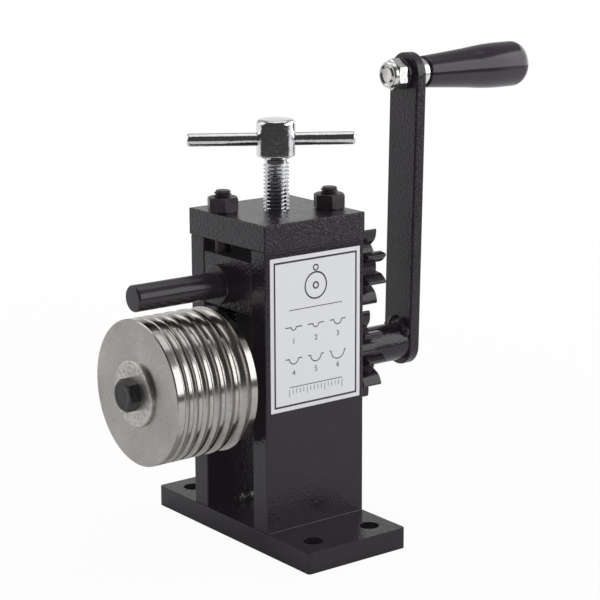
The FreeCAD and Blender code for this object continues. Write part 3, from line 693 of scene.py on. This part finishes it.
stud = {"diameter": 8.0, "pitch": 1.25, "depth": 0.72, "threaded": 12.0, "lead": 0.9}
low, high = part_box("guide_studs")
radius = stud["diameter"] / 2
studX = (high.x / mm) - radius
studY = (high.y / mm) - radius
shankFoot = low.z / mm
threadEnd = high.z / mm
shankTop = threadEnd - stud["threaded"]
studs = bmesh.new()
for side in (-1, 1):
    centre = Vector((side * studX * mm, side * studY * mm, 0))
    addTo(studs, turned([(0, shankFoot), (radius, shankFoot), (radius, shankTop), (0, shankTop)],
                        centre, alongZ, 48))
    addTo(studs, threaded(stud["diameter"], stud["pitch"], stud["depth"], shankTop, threadEnd, centre,
                          stud["lead"]))
makePiece("guideStuds", studs, "frame", finishes["nutOxide"], ("guide_studs",),
          sharp=40, even=False)
print("guide studs done")


spring = {"wire": 1.2, "turns": 5, "wireSides": 12, "stepsPerTurn": 32}
wire = spring["wire"] * mm
steps = spring["turns"] * spring["stepsPerTurn"]
for node, side in (("front_lift_spring", -1), ("rear_lift_spring", 1)):
    low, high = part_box(node)
    radius = (high.x - low.x - wire) / 2
    rise = high.z - low.z - wire
    bm = bmesh.new()
    stand = Matrix.Translation((radius, 0, 0)) @ Matrix.Rotation(math.pi / 2, 4, "X")
    circle = bmesh.ops.create_circle(bm, cap_ends=False, segments=spring["wireSides"], radius=wire / 2,
                                     matrix=stand)["verts"]
    bmesh.ops.spin(bm, geom=circle + bm.edges[:], cent=(0, 0, 0), axis=(0, 0, 1),
                   dvec=(0, 0, rise / steps), angle=math.tau * spring["turns"], steps=steps,
                   use_merge=False, use_duplicate=False)
    bmesh.ops.holes_fill(bm, edges=[edge for edge in bm.edges if edge.is_boundary], sides=0)
    bmesh.ops.recalc_face_normals(bm, faces=bm.faces)
    centre = Vector((side * studX * mm, side * studY * mm, low.z + wire / 2))
    bmesh.ops.translate(bm, vec=centre, verts=bm.verts)
    mesh = bpy.data.meshes.new("liftSpring")
    bm.to_mesh(mesh)
    bm.free()
    mesh.shade_smooth()
    mesh.materials.append(finishes["nutOxide"])
    coil = bpy.data.objects.new("frontLiftSpring" if side < 0 else "rearLiftSpring", mesh)
    scene.collection.objects.link(coil)
    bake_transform(coil)
    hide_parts(node)
print("springs done")


weld = {"voxel": 0.26 * mm, "lump": 2.75, "step": 1.5, "inset": 1.5, "ripple": 0.32, "rippleSize": 1.7,
        "uneven": 0.14, "stretch": 0.2, "wander": 0.5, "lumpPace": 0.7, "wanderPace": 0.9}


def weldBead(name, body, node, centres, sizes):
    # lumps fused into one bead, smoothed and rippled
    bm = bmesh.new()
    for number, (centre, size) in enumerate(zip(centres, sizes)):
        wobble = noise.noise(Vector((number * weld["lumpPace"], len(centres), 3.1)))
        radius = size * (1 + weld["uneven"] * wobble) * mm
        squash = Matrix.Diagonal((1, 1 + weld["stretch"] * wobble, 1, 1))
        bmesh.ops.create_icosphere(bm, subdivisions=3, radius=radius,
                                   matrix=Matrix.Translation(centre) @ squash)
    bm = reworked(bm, "REMESH", mode="VOXEL", voxel_size=weld["voxel"])
    for turn in range(3):
        bmesh.ops.smooth_vert(bm, verts=bm.verts, factor=0.5, use_axis_x=True, use_axis_y=True,
                              use_axis_z=True)
    bm.normal_update()
    for vert in bm.verts:
        ripple = noise.fractal(vert.co / (weld["rippleSize"] * mm), 1.0, 2.0, 2)
        vert.co += vert.normal * ripple * weld["ripple"] * mm
    makePiece(name, bm, body, finishes["weldCoat"], (node,), sharp=180, even=False)


def cornerBeads(node, downward):
    # lump centres along the two inner corners, left and right, of a weld node
    low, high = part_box(node)
    centres = []
    inset = weld["inset"] * mm
    lump = weld["lump"] * mm
    count = round((high.y - low.y) / mm / weld["step"])
    for side in (-1, 1):
        for number in range(count):
            y = low.y + lump + (high.y - low.y - 2 * lump) * number / (count - 1)
            wander = weld["wander"] * mm * noise.noise(Vector((number * weld["wanderPace"], side, 0.5)))
            x = side * (high.x - inset + wander)
            z = (high.z - inset) if downward else (low.z + inset)
            centres.append(Vector((x, y, z + wander * 0.6)))
    return centres


beads = cornerBeads("upright_welds", False)
weldBead("uprightWelds", "frame", "upright_welds", beads, [weld["lump"]] * len(beads))
beads = cornerBeads("block_welds", True)
weldBead("blockWelds", "frame", "block_welds", beads, [weld["lump"]] * len(beads))

hubWeld = {"from": 36.0, "to": 126.0, "count": 16, "reach": 9.3, "back": 0.9, "lump": 1.9,
           "blobs": ((104, 10.3, 2.3), (70, 10.8, 2.4), (42, 10.0, 2.2))}  # angle, reach, size
low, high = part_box("hub_weld")
turns = [hubWeld["from"] + (hubWeld["to"] - hubWeld["from"]) * number / (hubWeld["count"] - 1)
         for number in range(hubWeld["count"])]
lumps = [(turn, hubWeld["reach"], hubWeld["lump"]) for turn in turns] + [*hubWeld["blobs"]]
beads = []
for turn, reach, size in lumps:
    angle = math.radians(turn - crankLean)
    beads.append(Vector((reach * mm * math.cos(angle), high.y - hubWeld["back"] * mm,
                         driveAxis.z + reach * mm * math.sin(angle))))
weldBead("hubWeld", "drive", "hub_weld", beads, [lump[-1] for lump in lumps])

# the coat gathers in a thin fillet where each upright stands on the base plate
seam = {"size": 0.55, "round": 0.5, "short": 0.6}
seams = bmesh.new()
size = seam["size"] * mm
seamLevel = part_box("base_plate")[1].z + size / 2
for node in ("left_upright", "right_upright"):
    low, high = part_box(node)
    length = high.y - low.y - 2 * seam["short"] * mm
    for side in (-1, 1):
        face = (high if side > 0 else low).x
        middle = Vector((face + side * size / 2, (low.y + high.y) / 2, seamLevel))
        shape = Matrix.Translation(middle) @ Matrix.Diagonal((size, length, size, 1))
        corners = bmesh.ops.create_cube(seams, size=1, matrix=shape)["verts"]
        outer = [vert for vert in corners if vert.co.z > middle.z and (vert.co.x - middle.x) * side > 0]
        edge = [edge for edge in outer[0].link_edges if edge.other_vert(outer[0]) in outer]
        bmesh.ops.bevel(seams, geom=edge, offset=seam["round"] * mm, offset_type="OFFSET", segments=5,
                        profile=0.5, affect="EDGES", material=-1)
makePiece("footSeams", seams, "frame", finishes["smoothCoat"], sharp=40)
print("welds done")


nut = {"flats": 13.0, "bore": 4.0,
       "sides": (2.2, 0.1), "under": 6.0,  # how far the flats stay from each end, radius behind
       "face": ((4.0, 0.9), (4.95, 0.9), (4.95, 0.25), (5.15, 0.0), (5.6, 0.0), (6.0, 0.25), (6.2, 0.8),
                (6.3, 1.7), (6.35, 2.1))}  # radius and depth of the ring round the thread and the dome
low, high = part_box("handle_nut")
height = (high.y - low.y) / mm
nutLoops = [(*point, "round") for point in nut["face"]]
nutLoops += [(1.0, nut["sides"][0], "down"), (1.0, height - nut["sides"][1], "up"),
             (nut["under"], height, "round"), (nut["bore"], height, "round")]
nutStart = Vector((gripAxis.x, low.y, gripAxis.z))
bm = hexShape(nutLoops, nut["flats"], 30 - crankLean, nutStart, alongY)
makePiece("handleNut", bm, "drive", finishes["brightZinc"], ("handle_nut",), sharp=25)

spindle = {"thread": 8.0, "shoulder": 13.0, "shoulderLength": 5.7, "shoulderRound": 0.6, "flange": 11.0,
           "flangeLength": 3.0, "endChamfer": 0.8, "endDish": 0.15}
low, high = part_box("handle_spindle")
length = (high.y - low.y) / mm
shoulderStart = (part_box("crank_arm")[1].y - low.y) / mm
shoulderEnd = shoulderStart + spindle["shoulderLength"]
radius = spindle["thread"] / 2
big = spindle["shoulder"] / 2
soft = spindle["shoulderRound"]
flange = spindle["flange"] / 2
flangeStart = length - spindle["flangeLength"]
outline = [(0, spindle["endDish"]), (radius - spindle["endChamfer"], 0.0),
           (radius, spindle["endChamfer"]), (radius, shoulderStart)]
outline += arc(soft, (big - soft, shoulderStart + soft), -90, 0, 4)
outline += arc(soft, (big - soft, shoulderEnd - soft), 0, 90, 4)
outline += [(radius, shoulderEnd), (radius, flangeStart), (flange, flangeStart), (flange, length),
            (0, length)]
bm = turned(outline, Vector((gripAxis.x, low.y, gripAxis.z)), alongY, 72)
makePiece("handleSpindle", bm, "drive", finishes["brightZinc"], ("handle_spindle",))

grip = {"mouth": 7.5, "mouthRound": 0.35, "bushBore": 5.55, "bushDepth": 12.0,
        "bore": 6.0, "boreDepth": 46.3,
        "flank": ((7.5, 0.35), (8.42, 12.7), (9.47, 26.0), (10.12, 32.5), (10.66, 39.0), (10.96, 46.5),
                  (10.99, 56.0)),  # radius, distance from the mouth
        "domePower": 2.25, "domeSteps": 18}
low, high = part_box("handle_grip")
length = (high.y - low.y) / mm
soft = grip["mouthRound"]
outline = [(0, grip["boreDepth"]), (grip["bore"], grip["boreDepth"]), (grip["bore"], grip["bushDepth"]),
           (grip["bushBore"], grip["bushDepth"]), (grip["bushBore"], 0)]
outline += arc(soft, (grip["mouth"] - soft, soft), -90, 0, 5)
outline += smoothLine(grip["flank"], 7)[1:]
fullest, shoulder = grip["flank"][-1]
power = 2 / grip["domePower"]
for step in range(1, grip["domeSteps"] + 1):
    # a dome a little squarer than a ball, closed at its pole
    angle = math.radians(90 * step / grip["domeSteps"])
    share = max(0, math.cos(angle)) ** power if step < grip["domeSteps"] else 0
    outline.append((fullest * share, shoulder + (length - shoulder) * math.sin(angle) ** power))
bm = turned(outline, Vector((gripAxis.x, low.y, gripAxis.z)), alongY, 96)
makePiece("handleGrip", bm, "grip", finishes["grip"], ("handle_grip",),
          sharp=50, even=False)
print("crank handle done")


# label: a plain plate with a frame line, groove pictures and numbers; places are from its middle
label = {"corner": 0.25, "edge": 0.08, "ink": 0.03, "frameInset": 2.3, "frameLine": 0.85,
         "rollerUp": 20.5, "rollerRadii": (6.0, 1.4), "rollerLine": 0.7,
         "rodUp": 28.6, "rodRadius": 1.3, "rodLine": 0.6,
         "rulesUp": (10.8, -24.6), "ruleLength": 30, "ruleLine": 0.35,
         "columnStep": 12.5, "firstRow": 3.0, "rowStep": 14.5, "grooveScale": 0.55, "grooveLine": 0.45,
         "landReach": 4.6, "numberDrop": 6.6, "numberSize": 3.6,
         "ticks": 16, "tickStep": 2, "tickTop": -25.5, "tickLine": 0.25,
         "shortTick": 2.2, "longTick": 3.4}
low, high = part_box("label_plate")
size = high - low
centre = (low + high) / 2
bm = bmesh.new()
bmesh.ops.create_cube(bm, size=1, matrix=Matrix.Translation(centre) @ Matrix.Diagonal((*size, 1)))
for offset, along in ((label["corner"], True), (label["edge"], False)):
    # first the four corners, through the plate, then the hard edges round both faces
    edges = [edge for edge in bm.edges
             if (abs(edge.verts[0].co.x - edge.verts[1].co.x) > size.x / 2) == along]
    if not along:
        edges = [edge for edge in edges if edge.calc_face_angle() > math.radians(60)]
    bmesh.ops.bevel(bm, geom=edges, offset=offset * mm, offset_type="OFFSET", segments=3, profile=0.5,
                    affect="EDGES", material=-1)
makePiece("labelPlate", bm, "frame", labelFace("labelFace", centre, size), ("label_plate",))
onLabel = Matrix.Translation((high.x, centre.y, centre.z)) @ Matrix(((0, 0, 1, 0), (1, 0, 0, 0),
                                                                      (0, 1, 0, 0), (0, 0, 0, 1)))


# the print is drawn flat in mm, y up, and then laid on the plate
def addBar(bm, x, y, wide, tall):
    place = Matrix.Translation((x * mm, y * mm, label["ink"] * mm / 2))
    shape = place @ Matrix.Diagonal((wide * mm, tall * mm, label["ink"] * mm, 1))
    bmesh.ops.create_cube(bm, size=1, matrix=shape)


def addRing(bm, x, y, radius, line, fromAngle=0.0, sweep=360.0, steps=48):
    points = [(radius - line / 2, 0), (radius + line / 2, 0), (radius + line / 2, label["ink"]),
              (radius - line / 2, label["ink"])]
    verts = [bm.verts.new((r * mm, 0, d * mm)) for r, d in points]
    edges = [bm.edges.new((verts[n], verts[(n + 1) % 4])) for n in range(4)]
    start = Matrix.Translation((x * mm, y * mm, 0)) @ Matrix.Rotation(math.radians(fromAngle), 4, "Z")
    bmesh.ops.transform(bm, matrix=start, verts=verts)
    bmesh.ops.spin(bm, geom=verts + edges, cent=(x * mm, y * mm, 0), axis=(0, 0, 1), dvec=(0, 0, 0),
                   angle=math.radians(sweep), steps=steps, use_merge=sweep == 360, use_duplicate=False)


def addNumber(bm, words, x, y, size):
    curve = bpy.data.curves.new("number", "FONT")
    curve.body = words
    curve.size = size * mm
    curve.align_x = "CENTER"
    curve.align_y = "CENTER"
    curve.extrude = label["ink"] * mm / 2
    text = bpy.data.objects.new("number", curve)
    scene.collection.objects.link(text)
    bpy.context.view_layer.update()
    finished = text.evaluated_get(bpy.context.evaluated_depsgraph_get())
    mesh = bpy.data.meshes.new_from_object(finished)
    mesh.transform(Matrix.Translation((x * mm, y * mm, label["ink"] * mm / 2)))
    bm.from_mesh(mesh)
    bpy.data.objects.remove(text)
    bpy.data.curves.remove(curve)
    bpy.data.meshes.remove(mesh)


ink = bmesh.new()
halfWide = size.y / mm / 2 - label["frameInset"]
halfTall = size.z / mm / 2 - label["frameInset"]
line = label["frameLine"]
for side in (-1, 1):
    addBar(ink, side * halfWide, 0, line, 2 * halfTall + line)
    addBar(ink, 0, side * halfTall, 2 * halfWide - line, line)
for radius in label["rollerRadii"]:
    addRing(ink, 0, label["rollerUp"], radius, label["rollerLine"])
addRing(ink, 0, label["rodUp"], label["rodRadius"], label["rodLine"])
for y in label["rulesUp"]:
    addBar(ink, 0, y, label["ruleLength"], label["ruleLine"])
for number, width in enumerate(grooves):
    x = (number % 3 - 1) * label["columnStep"]
    y = label["firstRow"] - number // 3 * label["rowStep"]
    radius = width * label["grooveScale"]
    addRing(ink, x, y, radius, label["grooveLine"], 180, 180, 24)
    for side in (-1, 1):
        addBar(ink, x + side * (radius + label["landReach"]) / 2, y, label["landReach"] - radius,
               label["grooveLine"])
    addNumber(ink, str(number + 1), x, y - label["numberDrop"], label["numberSize"])
for tick in range(label["ticks"]):
    tall = label["shortTick"] if tick % 5 else label["longTick"]
    addBar(ink, tick * label["tickStep"] - label["ruleLength"] / 2, label["tickTop"] - tall / 2,
           label["tickLine"], tall)
bmesh.ops.recalc_face_normals(ink, faces=ink.faces)
bmesh.ops.transform(ink, matrix=onLabel, verts=ink.verts)
makePiece("labelPrint", ink, "frame", finishes["ink"], sharp=30, even=False)
print("label done")


studio = {"floor": 6.0, "matte": 0.82, "whiteShare": 0.95, "fade": (0.30, 0.75),
          "tableEdge": (0.60, 0.72), "darkRoom": 0.05, "lowBackdrop": 0.9, "highBackdrop": 0.42,
          "ceiling": 0.22, "wallFade": (0.12, 0.35), "ceilingFade": (0.6, 0.8),
          "ambient": (0.45, 0.45, 0.46)}
# which way the dark part of the room lies: the middle in degrees, and where it begins and is full
darkFar = {"middle": -37.4, "begins": 0.06, "full": 0.18}
darkFloor = {"middle": -46.0, "begins": -0.16, "full": 0.06}


def grey(level):
    return (level, level, level)


def darkness(paint, vector, part):
    angle = math.radians(part["middle"])
    way = Vector((math.cos(angle), math.sin(angle), 0))
    toward = paint.node("ShaderNodeVectorMath", {"operation": "DOT_PRODUCT"}, {0: vector, 1: way},
                        "Value")
    return paint.ramp(toward, part["begins"], part["full"])


def floorPaint():
    # white to the camera with the object's shadow, a lit room to glossy rays, matte to the rest
    paint = newPaint("floorPaint")
    spot = paint.place()
    away = paint.node("ShaderNodeVectorMath", {"operation": "LENGTH"}, {0: spot}, "Value")
    outward = paint.node("ShaderNodeVectorMath", {"operation": "NORMALIZE"}, {0: spot})
    matte = paint.node("ShaderNodeBsdfDiffuse", sockets={"Color": (*grey(studio["matte"]), 1)})
    white = paint.node("ShaderNodeEmission", sockets={"Color": (1, 1, 1, 1), "Strength": 1.0})
    around = paint.blend(darkness(paint, outward, darkFloor), grey(studio["lowBackdrop"]),
                         grey(studio["darkRoom"]))
    dim = paint.node("ShaderNodeEmission", sockets={"Color": around, "Strength": 1.0})
    seen = paint.node("ShaderNodeMixShader", sockets={0: studio["whiteShare"], 1: matte, 2: white})
    fade = paint.ramp(away, *studio["fade"])
    seen = paint.node("ShaderNodeMixShader", sockets={0: fade, 1: seen, 2: white})
    edge = paint.ramp(away, *studio["tableEdge"])
    mirrored = paint.node("ShaderNodeMixShader", sockets={0: edge, 1: matte, 2: dim})
    camera = paint.node("ShaderNodeLightPath", output="Is Camera Ray")
    glossy = paint.node("ShaderNodeLightPath", output="Is Glossy Ray")
    both = paint.node("ShaderNodeMixShader", sockets={0: glossy, 1: matte, 2: mirrored})
    both = paint.node("ShaderNodeMixShader", sockets={0: camera, 1: both, 2: seen})
    paint.node("ShaderNodeOutputMaterial", sockets={"Surface": both})
    return paint.owner


bm = bmesh.new()
bmesh.ops.create_grid(bm, x_segments=2, y_segments=2, size=studio["floor"] / 2)
mesh = bpy.data.meshes.new("floor")
bm.to_mesh(mesh)
bm.free()
mesh.materials.append(floorPaint())
floor = bpy.data.objects.new("floor", mesh)
scene.collection.objects.link(floor)

world = bpy.data.worlds.new("studioWorld")
scene.world = world
sky = Paint(world)
way = sky.node("ShaderNodeTexCoord", output="Generated")
upward = sky.parts(way)[2]
room = sky.blend(sky.ramp(upward, *studio["wallFade"]), grey(studio["lowBackdrop"]),
                 grey(studio["highBackdrop"]))
room = sky.blend(sky.ramp(upward, *studio["ceilingFade"]), room, grey(studio["ceiling"]))
room = sky.blend(darkness(sky, way, darkFar), room, grey(studio["darkRoom"]))
glossyRay = sky.node("ShaderNodeLightPath", output="Is Glossy Ray")
cameraRay = sky.node("ShaderNodeLightPath", output="Is Camera Ray")
seen = sky.blend(glossyRay, studio["ambient"], room)
seen = sky.blend(cameraRay, seen, (1, 1, 1))
ground = sky.node("ShaderNodeBackground", sockets={"Color": seen, "Strength": 1.0})
sky.node("ShaderNodeOutputWorld", sockets={"Surface": ground})

lamps = {
    # name: place, aimed at, width, height, watts
    "sideBox": ((0.419, 0.7425, 0.505), (0.129, -0.0475, 0.505), 1.625, 0.73, 7.3),
    "topBox": ((-0.15, 0.25, 1.2), (-0.15, 0.25, 0.0), 0.92, 1.0, 2.5),
    "frontFill": ((-0.75, -0.75, 0.75), (0.0, 0.0, 0.1), 0.7, 0.7, 2.2),
}
for name, (place, aim, wide, tall, watts) in lamps.items():
    lamp = bpy.data.lights.new(name, "AREA")
    lamp.shape = "RECTANGLE"
    lamp.size = wide
    lamp.size_y = tall
    lamp.energy = watts
    holder = bpy.data.objects.new(name, lamp)
    holder.location = place
    holder.rotation_euler = (Vector(aim) - Vector(place)).to_track_quat("-Z", "Y").to_euler()
    scene.collection.objects.link(holder)

view = {"place": (683.11, -508.22, 309.50), "turn": 52.639, "pitch": 13.222, "roll": -0.242,
        "lens": 114.126, "sensor": 36}
camera = bpy.data.cameras.new("camera")
camera.lens = view["lens"]
camera.sensor_width = view["sensor"]
cameraHolder = bpy.data.objects.new("camera", camera)
cameraHolder.matrix_world = (Matrix.Translation(Vector(view["place"]) * mm)
                             @ Matrix.Rotation(math.radians(view["turn"]), 4, "Z")
                             @ Matrix.Rotation(math.radians(90 - view["pitch"]), 4, "X")
                             @ Matrix.Rotation(math.radians(view["roll"]), 4, "Z"))
scene.collection.objects.link(cameraHolder)
scene.camera = cameraHolder
print("studio done")
